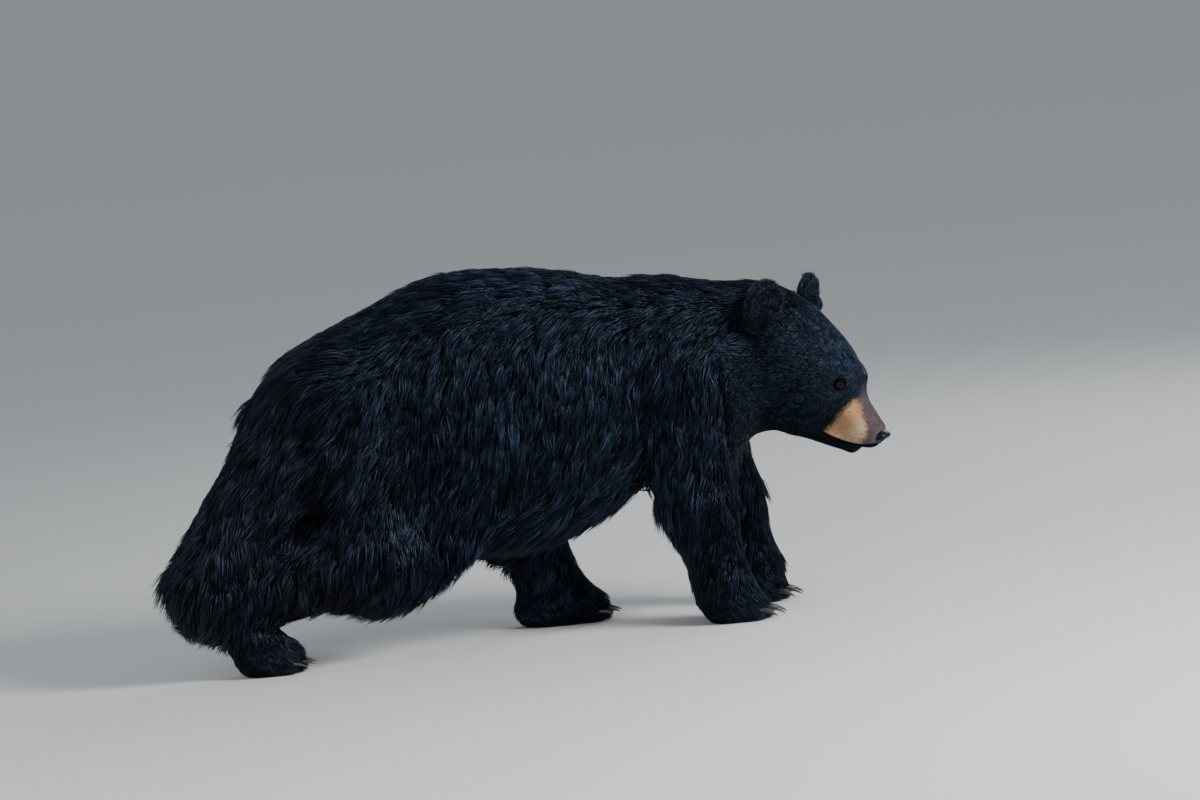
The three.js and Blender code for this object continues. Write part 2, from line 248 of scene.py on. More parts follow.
skull = together(34, [
    egg((-45, 0, -4), (118, 98, 89)),                      # braincase
    egg((34, 0, 9), (75, 66, 42)),                         # forehead
    egg((-10, 58, -34), (98, 56, 82)),                     # cheeks
    egg((-10, -58, -34), (98, 56, 82)),
    egg((-85, 0, -55), (95, 94, 93)),                      # ruff
])
muzzle = wider(1.22, together(22, [
    limb((84, 0, -27), (173, 0, -49), 43, 28),
    limb((60, 0, -74), (140, 0, -78), 36, 22),             # lips
    egg((163, 0, -64), (29, 26, 19)),
]))
chin = wider(1.15, limb((35, 0, -103), (150, 0, -95), 44, 19))
brows = [egg((72, side * 38, 20), (26, 20, 11)) for side in (1, -1)]


def unit(vectors):
    return vectors / np.maximum(np.linalg.norm(vectors, axis=-1, keepdims=True), 1e-9)


def eye_axes(side):
    """An eye's middle, and its axes: out along its gaze, to its inner corner, and up."""
    out = unit(GAZE * (1, side, 1))
    inward = -side * unit(np.cross((0, 0, 1.0), out))
    up = np.cross(out, inward) * -side
    slant = math.radians(16)
    return EYE_AT * (1, side, 1), np.array((
        out, inward * math.cos(slant) + up * math.sin(slant),
        up * math.cos(slant) - inward * math.sin(slant)))


def eye_dish(side):
    """The hollow that is pressed into the head round an eye."""
    middle, axes = eye_axes(side)
    return egg(middle + 15 * axes[0], (12, 20, 20), axes.T)


sockets = [eye_dish(side) for side in (1, -1)]


def ear_place(side):
    """An ear's middle, in the head's frame."""
    return np.array((EAR_BACK, side * EAR_SIDE, EAR_UP - side * EAR_TILT))


def ear(side):
    """A cupped shell standing on its root."""
    turn = turned(side * -0.22, -0.5, side * 0.23 - 0.07)
    place = ear_place(side)
    shell = egg(place, (EAR_THICK, EAR_WIDE, EAR_TALL), turn)
    front = place + turn @ np.array((13.0, 0, -2))
    cup = egg(front, (14, EAR_WIDE - 11, EAR_TALL - 14), turn)
    root = limb((EAR_BACK + 16, side * (EAR_SIDE - 37), 24),
                (EAR_BACK + 10, side * (EAR_SIDE - 9), 54), 36, 27)
    return lambda spots: joined(root(spots), hollowed(shell(spots), cup(spots), 7), 16)


ears = [ear(1), ear(-1)]


def head_distance(spots):
    """Distance to the tips of the head's coat, without the ears."""
    q = to_head(spots)
    d = joined(skull(q), joined(muzzle(q), chin(q), 12), 36)
    for brow in brows:
        d = joined(d, brow(q), 20)
    for socket in sockets:
        d = hollowed(d, socket(q), 8)
    return d


def body_distance(spots):
    """Distance to the tips of the coat, all over the bear."""
    d = torso = joined(trunk(spots), tail(spots), 30)
    for leg in legs:
        d = np.minimum(d, joined(torso, leg(spots), 55))
    low = spots[:, 2] < 80
    if low.any():
        for pads in toe_pads:
            d[low] = joined(d[low], pads(spots[low]), 10)
    ahead = spots[:, 0] > 430
    if ahead.any():
        q = to_head(spots[ahead])
        both_ears = np.minimum(ears[0](q), ears[1](q))
        d[ahead] = joined(joined(d[ahead], head_distance(spots[ahead]), 60), both_ears, 14)
    return d


def ramp(value, start, end):
    """0 at start and 1 at end, smoothly."""
    t = np.clip((value - start) / (end - start), 0, 1)
    return t * t * (3 - 2 * t)


def ear_share(spots):
    """1 on the ears, 0 elsewhere."""
    q = to_head(spots)
    share = np.zeros(len(q))
    for side in (1, -1):
        place = ear_place(side) + (-6, side * 3, 10)
        away = np.linalg.norm((q - place) / (40, EAR_WIDE, EAR_TALL + 1), axis=1)
        share = np.maximum(share, 1 - ramp(away, 0.85, 1.15))
    return share


def above_throat(q):
    """1 on the head and 0 below the throat, for places in the head's frame."""
    return ramp(q[:, 2], THROAT - 15, THROAT + 15)


def coat_length(spots):
    """How long the tufts are at places on the bear."""
    q = to_head(spots)
    forward, height = q[:, 0], spots[:, 2]
    long = (62 - 20 * ramp(height, 300, 130) - 14 * ramp(height, 130, 70)
            - 13 * ramp(height, 70, 35))
    face = (5 + 6 * ramp(forward, 110, 30) + 7 * ramp(forward, 30, -50)
            + 26 * ramp(forward, -60, -160))
    on_head = ramp(forward, -205, -120) * (spots[:, 0] > NECK - 20) * above_throat(q)
    long = long * (1 - on_head) + face * on_head
    on_ear = ear_share(spots)
    return long * (1 - on_ear) + 14 * on_ear


def mouth_height(spots):
    """How far places on the face are above the line of the mouth, in the head's frame."""
    q = to_head(spots)
    return q[:, 2] + MOUTH_LOW - MOUTH_RISE * np.maximum(q[:, 0] - MOUTH_BEND, 0) ** 2


def skin_depth(spots):
    """How far the skin lies under the tips of the coat, with the mouth's line pressed in."""
    q = to_head(spots)
    depth = 0.19 * coat_length(spots) - 0.4
    on_face = (spots[:, 0] > FACE) * ramp(q[:, 0], 86, 98)
    above = mouth_height(spots)
    groove = 3.4 * np.exp(-(above / 1.9) ** 2) - 0.9 * np.exp(-((above - 6) / 4) ** 2)
    lip_split = 1.6 * np.exp(-(q[:, 1] / 1.3) ** 2) * ramp(q[:, 0], 182, 190) * (above > 0)
    return depth + on_face * (groove + lip_split)


def slope_of(spots, here):
    """How the distance, known at places, changes for each millimetre along each axis."""
    return np.stack([body_distance(spots + axis) - here for axis in np.eye(3)], axis=1)


# The bear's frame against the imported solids, from where an eye lies in both.
eye_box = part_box("eye_left")
SHIFT = np.array((eye_box[0] + eye_box[1]) / 2) / MM - from_head(EYE_AT)


def laid(spots):
    """Millimetres in the bear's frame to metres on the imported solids."""
    return (np.asarray(spots, float) + SHIFT) * MM


def lifted(places):
    """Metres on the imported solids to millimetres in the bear's frame."""
    return places / MM - SHIFT


# ---- Mesh helpers ----

def places_in(mesh):
    """A mesh's vertices, one row each."""
    flat = np.empty(len(mesh.vertices) * 3)
    mesh.vertices.foreach_get("co", flat)
    return flat.reshape(-1, 3)


def piece(name, mesh, slot, finish, *stands_for):
    """A finished piece of the bear, in its place and with its finish."""
    mesh.name = name
    thing = bpy.data.objects.new(name, mesh)
    bpy.context.scene.collection.objects.link(thing)
    mesh.materials.clear()
    mesh.materials.append(finish)
    mesh.shade_smooth()
    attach(thing, "root")
    if stands_for:
        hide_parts(*stands_for)
    return thing


def settled(spots, rounds):
    """Moves points on to the skin's level, and flattens the soles on the floor."""
    for _ in range(rounds):
        here = body_distance(spots)
        slope = slope_of(spots, here)
        off = here + skin_depth(spots)
        move = -off / np.maximum((slope ** 2).sum(1), 0.2)
        spots = spots + np.clip(move, -10, 10)[:, None] * slope
    spots[:, 2] = np.maximum(spots[:, 2], FLOOR_GAP)
    return spots


def resettle(form, rounds, ease):
    """Eases a form's mesh and brings it back on to the skin's level."""
    for _ in range(rounds):
        bmesh.ops.smooth_vert(form, verts=form.verts, factor=ease, use_axis_x=True,
                              use_axis_y=True, use_axis_z=True)
        spots = lifted(np.array([v.co for v in form.verts]))
        for vertex, place in zip(form.verts, laid(settled(spots, 2))):
            vertex.co = place


def finer(form, wanted):
    """Divides every face whose middle is wanted."""
    middles = lifted(np.array([f.calc_center_median() for f in form.faces]))
    keep = wanted(middles)
    edges = {e for f, k in zip(form.faces, keep) if k for e in f.edges}
    bmesh.ops.subdivide_edges(form, edges=list(edges), cuts=1, use_grid_fill=True)


def head_part(spots, behind, start):
    """Which places are on the head, ahead of a place in its frame and of one in the bear's."""
    q = to_head(spots)
    return (q[:, 0] > behind) & (q[:, 2] > THROAT) & (spots[:, 0] > start)


def whole_body():
    """One closed form from all the solids but the claws, evenly meshed."""
    form = bmesh.new()
    for name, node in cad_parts.items():
        if not name.startswith("claw"):
            form.from_mesh(node.data)
    bmesh.ops.remove_doubles(form, verts=form.verts, dist=1e-6)
    mesh = bpy.data.meshes.new("body_form")
    form.to_mesh(mesh)
    form.free()
    thing = bpy.data.objects.new("body_form", mesh)
    bpy.context.scene.collection.objects.link(thing)
    remesh = thing.modifiers.new("even", "REMESH")
    remesh.mode = "VOXEL"
    remesh.voxel_size = EVEN_MESH * MM
    graph = bpy.context.evaluated_depsgraph_get()
    even = bpy.data.meshes.new_from_object(thing.evaluated_get(graph))
    bpy.data.objects.remove(thing)
    return even


def make_skin():
    """One closed skin, finer on the head and the paws, and finest at the lips."""
    form = bmesh.new()
    form.from_mesh(whole_body())
    resettle(form, 4, 0.5)
    finer(form, lambda p: head_part(p, -140, NECK + 40) | (p[:, 2] < 55))
    resettle(form, 2, 0.5)
    finer(form, lambda p: head_part(p, 60, FACE))
    resettle(form, 2, 0.4)

    def by_lips(p):
        return (p[:, 0] > FACE) & (to_head(p)[:, 0] > 84) & (np.abs(mouth_height(p)) < 7)

    finer(form, by_lips)
    resettle(form, 2, 0.3)
    bmesh.ops.triangulate(form, faces=[f for f in form.faces if len(f.verts) > 4])
    bmesh.ops.recalc_face_normals(form, faces=form.faces)
    mesh = bpy.data.meshes.new("skin")
    form.to_mesh(mesh)
    form.free()
    return mesh


def filled(name, form):
    """A mesh from a form laid out in the bear's frame."""
    bmesh.ops.recalc_face_normals(form, faces=form.faces)
    mesh = bpy.data.meshes.new(name)
    form.to_mesh(mesh)
    form.free()
    mesh.vertices.foreach_set("co", laid(places_in(mesh)).ravel())
    return mesh


def mark(mesh, name, values):
    """Keeps one value for each vertex, for a material to read."""
    mesh.attributes.new(name, "FLOAT", "POINT").data.foreach_set(
        "value", np.asarray(values, np.float32))


def make_eye(name, side, node):
    """A wet globe with a slight bulge over its iris."""
    middle, axes = eye_axes(side)
    form = bmesh.new()
    bmesh.ops.create_uvsphere(form, u_segments=32, v_segments=24, radius=1)
    off_axis = []
    for vertex in form.verts:
        across, upward, ahead = vertex.co
        away = math.acos(max(-1, min(1, ahead)))
        radius = EYE_RADIUS + 0.7 * (1 - ramp(away, 0.3, 0.75))
        place = (axes[0] * ahead + axes[1] * across + axes[2] * upward) * radius
        vertex.co = from_head(middle + place)
        off_axis.append(away * EYE_RADIUS)
    mesh = filled(name, form)
    mark(mesh, "off_axis", off_axis)
    return piece(name, mesh, "eye", EYE, node)


# Share of the way from the slit to the socket's edge, and height over the eye.
CREASE_AT = 0.45
LID_RINGS = ((-0.06, 0.1), (0.0, 1.0), (0.07, 1.8), (0.22, 2.3), (CREASE_AT, 2.1), (0.75, 1.6),
             (1.0, 0.4), (1.35, -2.5))


def make_lids(name, side):
    """Both lids of an eye: a dome with an almond slit, its rims rolled on to the globe."""
    middle, axes = eye_axes(side)
    form = bmesh.new()
    bmesh.ops.create_circle(form, segments=48, radius=1)
    rings = [list(form.verts)]
    while len(rings) < len(LID_RINGS):
        edge = [e for e in form.edges if all(v in rings[-1] for v in e.verts)]
        grown = bmesh.ops.extrude_edge_only(form, edges=edge)["geom"]
        made = [v for v in grown if isinstance(v, bmesh.types.BMVert)]
        made.sort(key=lambda v: math.atan2(v.co.y, v.co.x) % (2 * math.pi))
        rings.append(made)
    pale = {}
    for ring, (share, height) in zip(rings, LID_RINGS):
        for vertex in ring:
            turn = math.atan2(vertex.co.y, vertex.co.x)
            up = math.sin(turn)
            tall = 25 if up > 0 else 20
            slit = np.array((47 * math.cos(turn), tall * up * abs(up) ** 0.25))
            edge = 62 * np.array((math.cos(turn), up))
            spot = slit + (edge - slit) * share
            off = math.radians(np.linalg.norm(spot))
            heading = spot / np.linalg.norm(spot)
            crease = -0.8 * max(up, 0) if share == CREASE_AT else 0
            place = (axes[0] * math.cos(off)
                     + (axes[1] * heading[0] + axes[2] * heading[1]) * math.sin(off))
            pale[vertex] = (share < 0.1) * max(-up, 0)
            vertex.co = from_head(middle + place * (EYE_RADIUS + height + crease))
    form.verts.index_update()
    values = [pale[v] for v in form.verts]
    mesh = filled(name, form)
    mark(mesh, "pale", values)
    return piece(name, mesh, "coat", LIDS)


def make_nose():
    """The nose pad: square above, narrow below, with comma nostrils and a middle groove."""
    form = bmesh.new()
    bmesh.ops.create_uvsphere(form, u_segments=96, v_segments=64, radius=1)
    for vertex in form.verts:
        x, y, z = vertex.co
        x, y, z = (math.copysign(abs(c) ** 0.86, c) for c in (x, y, z))
        x *= 1.35 - 0.35 * x * x
        spot = np.array((x, y, z)) * NOSE_SIZE
        spot[1] *= 1 - 0.34 * ramp(-z, 0.1, 1.0)
        front = ramp(x, 0.0, 0.5)
        wide = abs(spot[1])
        hole = math.exp(-(((wide - 9.8) / 5.2) ** 2 + ((spot[2] - 0.5) / 4.4) ** 2) ** 1.6)
        over_slit = spot[2] + 2.5 + 0.25 * (wide - 15)
        slit = math.exp(-((wide - 15.5) / 5.0) ** 2 - (over_slit / 2.2) ** 2)
        groove = math.exp(-(spot[1] / 1.1) ** 2) * ramp(-spot[2], -8, -2)
        spot[0] -= front * (10.5 * hole + 1.6 * groove)
        spot[1] -= math.copysign(4.4 * slit * ramp(x, -0.35, 0.1), spot[1])
        spot[0] += 0.5 * spot[2]
        vertex.co = from_head(spot + NOSE_AT)
    return piece("nose_pad", filled("nose_pad", form), "nose", NOSE, "nose")


def make_claws():
    """Five bent claws on each foot."""
    for foot, (ball, reach, (length, radius, bend)) in FEET.items():
        for number, (centre, turn) in enumerate(toes_of(ball, reach), 1):
            form = bmesh.new()
            bmesh.ops.create_cone(form, cap_ends=True, segments=8, radius1=1, radius2=0.08, depth=1,
                                  matrix=Matrix.Translation((0, 0, 0.5)))
            for cut in (0.25, 0.5, 0.7, 0.86):
                bmesh.ops.bisect_plane(form, geom=form.verts[:] + form.edges[:] + form.faces[:],
                                       plane_co=(0, 0, cut), plane_no=(0, 0, 1))
            arc = length / math.radians(bend)
            lean = turned(y=math.radians(-14), z=turn)
            root = np.array((centre[0] + 12 * math.cos(turn), centre[1] + 12 * math.sin(turn), 20))
            along = [v.co.z for v in form.verts]
            for vertex in form.verts:
                share = vertex.co.z
                flat = np.array(vertex.co)[:2]
                flat = flat / max(1 - 0.92 * share, 0.08) * radius * max(1 - share, 0.01) ** 0.62
                angle, out = share * length / arc, arc + flat[0]
                spot = (out * math.sin(angle), flat[1] * 0.72, out * math.cos(angle) - arc)
                vertex.co = lean @ np.array(spot) + root
            name = f"{foot}_claw_{number}"
            mesh = filled(name, form)
            mark(mesh, "along", along)
            piece(name, mesh, "claw", HORN, f"claw_{foot}_{number}")


# ---- Materials ----

class Shade:
    """A shader value that takes part in arithmetic."""

    def __init__(self, finish, socket):
        self.finish, self.socket = finish, socket

    def _with(self, operation, other, swap=False):
        pair = [other, self] if swap else [self, other]
        return self.finish.node("ShaderNodeMath", {"operation": operation}, dict(enumerate(pair)))

    def __add__(self, other):
        return self._with("ADD", other)

    def __sub__(self, other):
        return self._with("SUBTRACT", other)

    def __mul__(self, other):
        return self._with("MULTIPLY", other)

    def __rsub__(self, other):
        return self._with("SUBTRACT", other, True)

    __radd__ = __add__
    __rmul__ = __mul__


class Finish:
    """A material on Object coordinates, built from expressions."""

    def __init__(self, name, **constants):
        self.material = bpy.data.materials.new(name)
        self.material.use_nodes = True
        self.tree = self.material.node_tree
        self.surface = self.tree.nodes["Principled BSDF"]
        for socket, value in constants.items():
            self.surface.inputs[socket.replace("_", " ")].default_value = value

    def node(self, kind, settings=None, sockets=None, output=0):
        """Any node: its settings come first, then its sockets' values or links."""
        made = self.tree.nodes.new(kind)
        for name, value in (settings or {}).items():
            setattr(made, name, value)
        for key, value in (sockets or {}).items():
            if isinstance(value, Shade):
                self.tree.links.new(value.socket, made.inputs[key])
            else:
                made.inputs[key].default_value = value
        return Shade(self, made.outputs[output])

    def own_place(self):
        return self.node("ShaderNodeTexCoord", output="Object")

    def noise(self, where, scale, detail=2.0, rough=0.5):
        return self.node("ShaderNodeTexNoise", {}, {
            "Vector": where, "Scale": scale, "Detail": detail, "Roughness": rough})

    def mix(self, share, first, second):
        """A colour some share of the way from one to another."""
        return self.node("ShaderNodeMix", {"data_type": "RGBA"}, {0: share, 6: first, 7: second}, 2)

    def between(self, value, start, end):
        """0 at start and 1 at end, smoothly."""
        return self.node("ShaderNodeMapRange", {"interpolation_type": "SMOOTHSTEP"}, {
            "Value": value, "From Min": start, "From Max": end, "To Min": 0.0, "To Max": 1.0})

    def drive(self, socket, value):
        """Lets a value that changes over the surface feed one of its sockets."""
        self.tree.links.new(value.socket, self.surface.inputs[socket])

    def bump(self, height, strength, distance):
        self.drive("Normal", self.node("ShaderNodeBump", {}, {
            "Strength": strength, "Distance": distance, "Height": height}))


def split(finish, vector):
    """A vector's three parts."""
    made = finish.node("ShaderNodeSeparateXYZ", {}, {"Vector": vector})
    return [Shade(finish, output) for output in made.socket.node.outputs]


def head_place(finish, where):
    """A place in the head's own frame, in metres: forward, left and up."""
    return finish.node("ShaderNodeMapping", {"vector_type": "TEXTURE"}, {
        "Vector": where, "Location": tuple(laid(HEAD_AT)),
        "Rotation": (0.0, math.radians(HEAD_DROP), math.radians(HEAD_TURN))})


def pelt_colour(finish, where, tone):
    """The bear's markings: near black, browner on the rump, tan muzzle sides, brown bridge; with
    painted highlight on the strands and the crown, and painted shade in the ear cups and behind the
    cheeks.
    """
    forward, left, up = split(finish, head_place(finish, where))
    aside = finish.node("ShaderNodeMath", {"operation": "ABSOLUTE"}, {0: left})
    along, _, _ = split(finish, where)
    ragged = (finish.noise(where, 150.0, 4.0, 0.65) - 0.5) * 0.020
    broad = finish.noise(where, 5.0, 2.0)

    # Painted highlight: strands on the crown are lighter, where light falls on the top of the head.
    crown_highlight = finish.between(up + forward * 0.4, 0.035, 0.095) * finish.between(forward, -0.06, -0.01)
    # Painted highlight: the share of the light strand colour rises steeply with each strand's tone.
    tone_and_highlight = tone * tone * (tone * 1.1 + 0.45) * (crown_highlight * 1.1 + 1.0)
    black = finish.mix(tone_and_highlight, JET, BLUE_GLEAM)
    brown = finish.mix(tone_and_highlight, SABLE, BROWN_GLEAM)
    rump = finish.between(along + (broad - 0.5) * 0.4, -0.15, -0.55) * 0.7
    colour = finish.mix(rump, black, brown)
    # Painted shade: near black in the ear cups and in a band behind the cheeks down to the throat,
    # stronger on the right side of the head.
    from_cup = away_from(finish, forward, aside, up, EAR_CUP_AT)
    painted_cup_shade = finish.between(from_cup, 0.056, 0.044)
    by_neck = forward + up * 0.43
    painted_neck_shade = finish.between(by_neck, -0.026, -0.052) * finish.between(by_neck, -0.120, -0.088)
    shaded = finish.between(left, 0.04, -0.02) * 0.6 + 0.3
    painted_shade = (painted_cup_shade * 0.9 + painted_neck_shade * 0.75 - painted_cup_shade * painted_neck_shade * 0.7) * shaded
    colour = finish.mix(painted_shade, colour, PAINTED_SHADE_BLACK)

    past_bend = finish.node("ShaderNodeMath", {"operation": "MAXIMUM"}, {
        0: forward - MOUTH_BEND * MM, 1: 0.0})
    over_lip = up + MOUTH_LOW * MM - past_bend * past_bend * (MOUTH_RISE / MM)
    above_lip = finish.between(over_lip + ragged * 0.25, 0.001, 0.006)
    bridge = finish.between(forward - aside * 0.5 + ragged, 0.106, 0.130) * above_lip
    colour = finish.mix(bridge * 0.9, colour, finish.mix(tone, BRIDGE_DARK, BRIDGE_LIGHT))

    over_eye = away_from(finish, forward, aside, up, BROW_SPOT_AT)
    spot = finish.between(over_eye + ragged * 0.5, 0.010, 0.002) * (
        finish.between(left, -0.01, 0.01) * 0.34 + 0.10)
    colour = finish.mix(spot, colour, BROW_TAN)

    back = finish.between(forward - up * 0.24 + ragged, 0.117, 0.131)
    below_top = finish.between(up + forward * 0.77 + ragged, 0.100, 0.086)
    before_nose = finish.between(forward + ragged, 0.187, 0.167)
    tan_here = back * below_top * before_nose * above_lip
    warm = finish.between(forward - up * 0.5, 0.145, 0.190)
    tan = finish.mix(warm, TAN_DEEP, TAN_PALE)
    # Darker tan where the tone is low: at random, and at the roots as painted shade.
    tan = finish.mix(finish.between(tone, 0.8, 0.1) * 0.28, tan, TAN_DARK_AND_ROOT_SHADE)
    colour = finish.mix(tan_here * 0.96, colour, tan)
    lips = (finish.between(over_lip + ragged * 0.25, 0.004, 0.001)
            * finish.between(over_lip, -0.008, -0.003) * finish.between(forward, 0.06, 0.10))
    return finish.mix(lips * 0.9, colour, LIP_BLACK)


def away_from(finish, forward, aside, up, place):
    """How far a place on either side of the head is from a given one, in metres."""
    here = finish.node("ShaderNodeCombineXYZ", {}, {"X": forward, "Y": aside, "Z": up})
    return finish.node("ShaderNodeVectorMath", {"operation": "DISTANCE"}, {
        0: here, 1: tuple(c * MM for c in place)}, 1)


def skin_finish():
    finish = Finish("short_pelt", Roughness=0.8, Specular_IOR_Level=0.06)
    where = finish.own_place()
    grain = finish.noise(where, 700.0, 2.0)
    finish.drive("Base Color", pelt_colour(finish, where, grain * 0.5))
    finish.bump(grain, 0.6, 0.001)
    return finish.material


def coat_finish():
    finish = Finish("long_coat", Roughness=0.36, Specular_IOR_Level=0.26,
                    Specular_Tint=COAT_SHEEN)
    # The strands' tone is random, with painted shade at the roots and painted highlight toward the
    # tips and on raised locks.
    strand_tone_and_sheen = finish.node("ShaderNodeAttribute", {"attribute_name": "tone"}, output="Fac")
    finish.drive("Base Color", pelt_colour(finish, finish.own_place(), strand_tone_and_sheen))
    return finish.material


def eye_finish():
    finish = Finish("wet_eye", Roughness=0.03, Specular_IOR_Level=0.09)
    off = finish.node("ShaderNodeAttribute", {"attribute_name": "off_axis"}, output="Fac")
    fleck = finish.noise(finish.own_place(), 1400.0, 2.0)
    iris = finish.mix(fleck, IRIS_DARK, IRIS_LIGHT)
    colour = finish.mix(finish.between(off, 2.9, 3.5), PUPIL_BLACK, iris)
    colour = finish.mix(finish.between(off, 5.8, 7.2), colour, EYE_RIM)
    finish.drive("Base Color", colour)
    return finish.material


def lid_finish():
    finish = Finish("bare_lids", Roughness=0.6, Specular_IOR_Level=0.04)
    pale = finish.node("ShaderNodeAttribute", {"attribute_name": "pale"}, output="Fac")
    finish.drive("Base Color", finish.mix(pale, LID_BLACK, LID_PALE))
    finish.bump(finish.noise(finish.own_place(), 1500.0, 2.0), 0.4, 0.0006)
    return finish.material


def nose_finish():
    finish = Finish("nose_leather", Roughness=0.34, Specular_IOR_Level=0.2,
                    Specular_Tint=NOSE_SHEEN, Base_Color=NOSE_BLACK)
    pebbles = finish.node("ShaderNodeTexVoronoi", {"feature": "SMOOTH_F1"}, {
        "Vector": finish.own_place(), "Scale": 1300.0})
    finish.bump(pebbles, 0.35, 0.0005)
    return finish.material


def horn_finish():
    finish = Finish("horn", Roughness=0.36)
    along = finish.node("ShaderNodeAttribute", {"attribute_name": "along"}, output="Fac")
    toward_tip = finish.between(along, 0.3, 1.0)
    finish.drive("Base Color", finish.mix(toward_tip, HORN_ROOT, HORN_TIP))
    return finish.material


# ---- Coat ----

def waves(spots, size, seed, count=7):
    """A smooth random field of about -1 to 1 with features of the given size."""
    pick = np.random.default_rng(seed)
    total = np.zeros(len(spots))
    for _ in range(count):
        heading = pick.normal(size=3)
        heading *= 2 * math.pi / (size * pick.uniform(0.8, 1.6)) / np.linalg.norm(heading)
        total += np.sin(spots @ heading + pick.uniform(0, 2 * math.pi))
    return total / math.sqrt(count)


def coat_plan(spots, normals):
    """How the coat lies at places on the skin, and how long, wide, raised, dense and bent it is."""
    q = to_head(spots)
    forward, along, height = q[:, 0], spots[:, 0], spots[:, 2]
    on_head = ramp(forward, -150, -85) * (along > NECK) * above_throat(q)
    on_ear = ear_share(spots)
    on_leg = ramp(height, 300, 220)
    on_paw = ramp(height, 78, 50)
    under = ramp(-normals[:, 2], 0.15, 0.8) * (1 - on_paw) * (1 - on_head)
    behind = ramp(-normals[:, 0], 0.25, 0.8) * (1 - on_head)
    long = coat_length(spots)

    level = ramp(normals[:, 2], 0.35, 1.0)
    back = 0.22 + 0.38 * ramp(along, 60, -380)
    lie = np.stack([-back - 0.9 * level, 0 * level, -(1 - level)], axis=1)
    lie = lie * (1 - on_leg)[:, None] + np.array((-0.18, 0, -1.0)) * on_leg[:, None]
    lie = lie * (1 - under)[:, None] + np.array((-0.85, 0, -0.6)) * under[:, None]
    lie = lie * (1 - on_paw)[:, None] + np.array((0.7, 0, -0.75)) * on_paw[:, None]

    face_lie = unit(q - np.array((225, 0, -30)))
    cheek = ramp(np.abs(q[:, 1]), 35, 75) * ramp(forward, 110, 50)
    face_lie = face_lie + np.array((0, 0, -0.75)) * cheek[:, None]
    for side in (1, -1):
        from_eye = q - EYE_AT * (1, side, 1)
        close = ramp(np.linalg.norm(from_eye, axis=1), 32, 14)
        face_lie = face_lie + unit(from_eye) * (1.6 * close)[:, None]
    lie = lie * (1 - on_head)[:, None] + (face_lie @ HEAD_FRAME.T) * on_head[:, None]
    for side in (1, -1):
        from_root = unit(q - ear_place(side) + np.array((-22, 0, 52))) @ HEAD_FRAME.T
        here = on_ear * (np.sign(q[:, 1]) == side)
        lie = lie * (1 - here)[:, None] + from_root * here[:, None]

    haunch = behind * ramp(along, -330, -420) * ramp(height, 90, 150) * ramp(height, 460, 380)
    belly = under * ramp(height, 420, 340) * (along < 360)
    long = long + 14 * np.maximum(haunch, belly)
    lips = (along > FACE) * ramp(forward, 84, 100) * ramp(np.abs(mouth_height(spots)), 9, 2)
    long = long * (1 - 0.5 * lips)
    wide = np.interp(long, (5, 10, 20, 40, 70), (0.62, 0.78, 0.95, 1.15, 1.35))
    raised = np.interp(long, (5, 16, 40, 70), (9, 14, 16, 17)) + 8 * on_ear + 14 * under
    dense = np.interp(long, (5, 10, 20, 40, 62, 90), (42, 24, 10, 6.2, 5.5, 5.0))
    bend = (0.0015 + 0.0027 * ramp(height, 230, 330)) * (1 - on_head) + 0.009 * on_head
    bend = bend * (1 - on_ear) + 0.018 * on_ear
    return lie, long, wide, raised, dense, bend


def one_tuft():
    """A tapered three-sided tuft one unit long, with a ring at its middle."""
    form = bmesh.new()
    bmesh.ops.create_cone(form, cap_ends=True, segments=3, radius1=1, radius2=0, depth=1,
                          matrix=Matrix.Translation((0, 0, 0.5)))
    bmesh.ops.remove_doubles(form, verts=form.verts, dist=1e-5)
    bmesh.ops.bisect_plane(form, geom=form.verts[:] + form.edges[:] + form.faces[:],
                           plane_co=(0, 0, 0.45), plane_no=(0, 0, 1))
    bmesh.ops.triangulate(form, faces=form.faces)
    form.verts.index_update()
    corners = np.array([v.co for v in form.verts])
    faces = np.array([[v.index for v in f.verts] for f in form.faces])
    form.free()
    along = corners[:, 2].copy()
    ring = (along > 0.1) & (along < 0.9)
    corners[ring, :2] = unit(corners[ring, :2])
    corners[along < 0.1, :2] *= 0.8
    return corners[:, :2], along, faces


def sample_roots(skin, wanted_share):
    """Places on the skin for the tufts' roots, with normals and places on its unwrap."""
    skin.calc_loop_triangles()
    count = len(skin.loop_triangles)
    loops = np.empty(count * 3, np.int32)
    skin.loop_triangles.foreach_get("loops", loops)
    corner = np.empty(count * 3, np.int32)
    skin.loop_triangles.foreach_get("vertices", corner)
    loops, corner = loops.reshape(-1, 3), corner.reshape(-1, 3)
    spots = lifted(places_in(skin))
    normals = np.empty(len(spots) * 3)
    skin.vertex_normals.foreach_get("vector", normals)
    normals = normals.reshape(-1, 3)
    flat = np.empty(len(skin.loops) * 2)
    skin.uv_layers["OFBake"].data.foreach_get("uv", flat)
    flat = flat.reshape(-1, 2)

    a, b, c = (spots[corner[:, i]] for i in range(3))
    areas = np.linalg.norm(np.cross(b - a, c - a), axis=1) / 2
    middle_normals = unit(normals[corner].mean(1))
    dense = coat_plan((a + b + c) / 3, middle_normals)[4]
    total = np.cumsum(areas * dense / 100 * wanted_share)
    wanted = int(total[-1])
    chosen = np.searchsorted(total, (np.arange(wanted) + rng.random(wanted)) * total[-1] / wanted)
    chosen = np.minimum(chosen, count - 1)
    s, t = rng.random((2, wanted))
    over = s + t > 1
    s[over], t[over] = 1 - s[over], 1 - t[over]
    weights = np.stack([1 - s - t, s, t], axis=1)[:, :, None]
    return ((spots[corner[chosen]] * weights).sum(1),
            unit((normals[corner[chosen]] * weights).sum(1)),
            (flat[loops[chosen]] * weights).sum(1))


